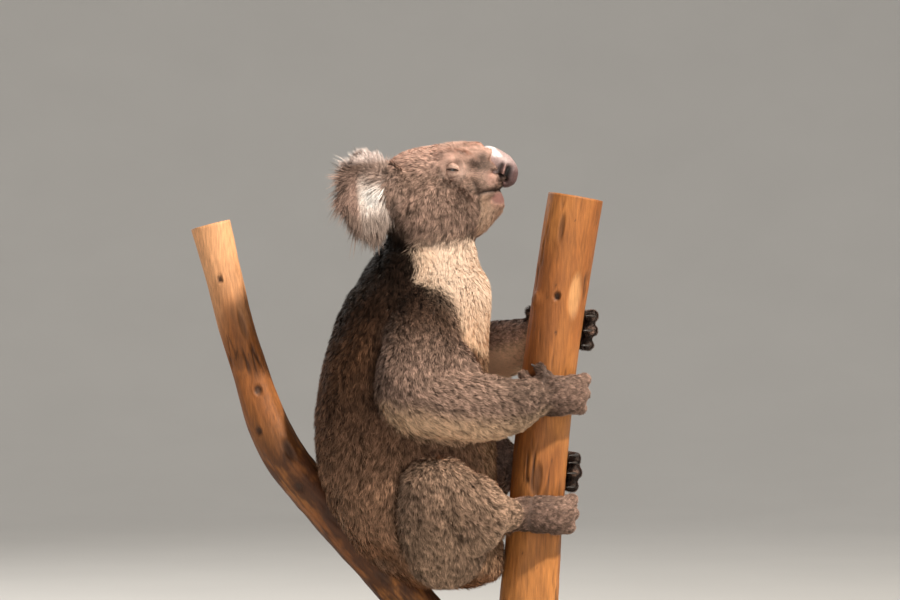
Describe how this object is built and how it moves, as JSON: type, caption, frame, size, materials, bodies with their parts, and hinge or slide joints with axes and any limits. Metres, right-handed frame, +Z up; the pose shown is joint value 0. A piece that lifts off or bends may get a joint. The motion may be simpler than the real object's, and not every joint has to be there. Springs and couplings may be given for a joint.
{
  "type": "koala model",
  "caption": "Life-size still koala hugging the upright of a cut forked tree perch, with round furry ears and a broad nose pad, held on a flat base.",
  "frame": {"origin": "middle of the underside of the stand's base", "axes": "+X the way the koala faces, +Y the koala's left, +Z up"},
  "size_m": [0.54, 0.35, 0.8111],
  "materials": {
    "grey_coat": "short dense woolly fur, brownish grey flecked with pale and dark hairs, cream on the chest, chin and undersides",
    "dark_coat": "dense dark brown fur of the nape, cream in front",
    "ear_coat": "long shaggy fur, white in front and grey brown behind",
    "nose_skin": "smooth bare skin, dark with a pale pink patch on top",
    "eye": "dark, wet and glossy",
    "claw": "black horn, satin",
    "gum_wood": "bare orange brown gum wood, worn smooth, with knots and sawn ends",
    "base_paint": "dark satin paint",
    "rod_steel": "brushed steel"
  },
  "bodies": {
    "root": {"claw_foot_left_fifth": "claw", "claw_foot_left_fourth": "claw", "claw_foot_left_second_third_1": "claw", "claw_foot_left_second_third_2": "claw", "claw_foot_right_fifth": "claw", "claw_foot_right_fourth": "claw", "claw_foot_right_second_third_1": "claw", "claw_foot_right_second_third_2": "claw", "claw_hand_left_fifth": "claw", "claw_hand_left_fourth": "claw", "claw_hand_left_third": "claw", "claw_hand_left_thumb_lower": "claw", "claw_hand_left_thumb_upper": "claw", "claw_hand_right_fifth": "claw", "claw_hand_right_fourth": "claw", "claw_hand_right_third": "claw", "claw_hand_right_thumb_lower": "claw", "claw_hand_right_thumb_upper": "claw", "ear_left": "ear_coat", "ear_right": "ear_coat", "eye_left": "eye", "eye_right": "eye", "foot_left": "grey_coat", "foot_right": "grey_coat", "forearm_left": "grey_coat", "forearm_right": "grey_coat", "hand_left": "grey_coat", "hand_right": "grey_coat", "head": "grey_coat", "neck": "dark_coat", "nose": "nose_skin", "perch_branch": "gum_wood", "perch_post": "gum_wood", "shin_left": "grey_coat", "shin_right": "grey_coat", "stand_base": "base_paint", "stand_rod_branch": "rod_steel", "stand_rod_post": "rod_steel", "thigh_left": "grey_coat", "thigh_right": "grey_coat", "trunk": "grey_coat", "upper_arm_left": "grey_coat", "upper_arm_right": "grey_coat"}
  },
  "joints": []
}
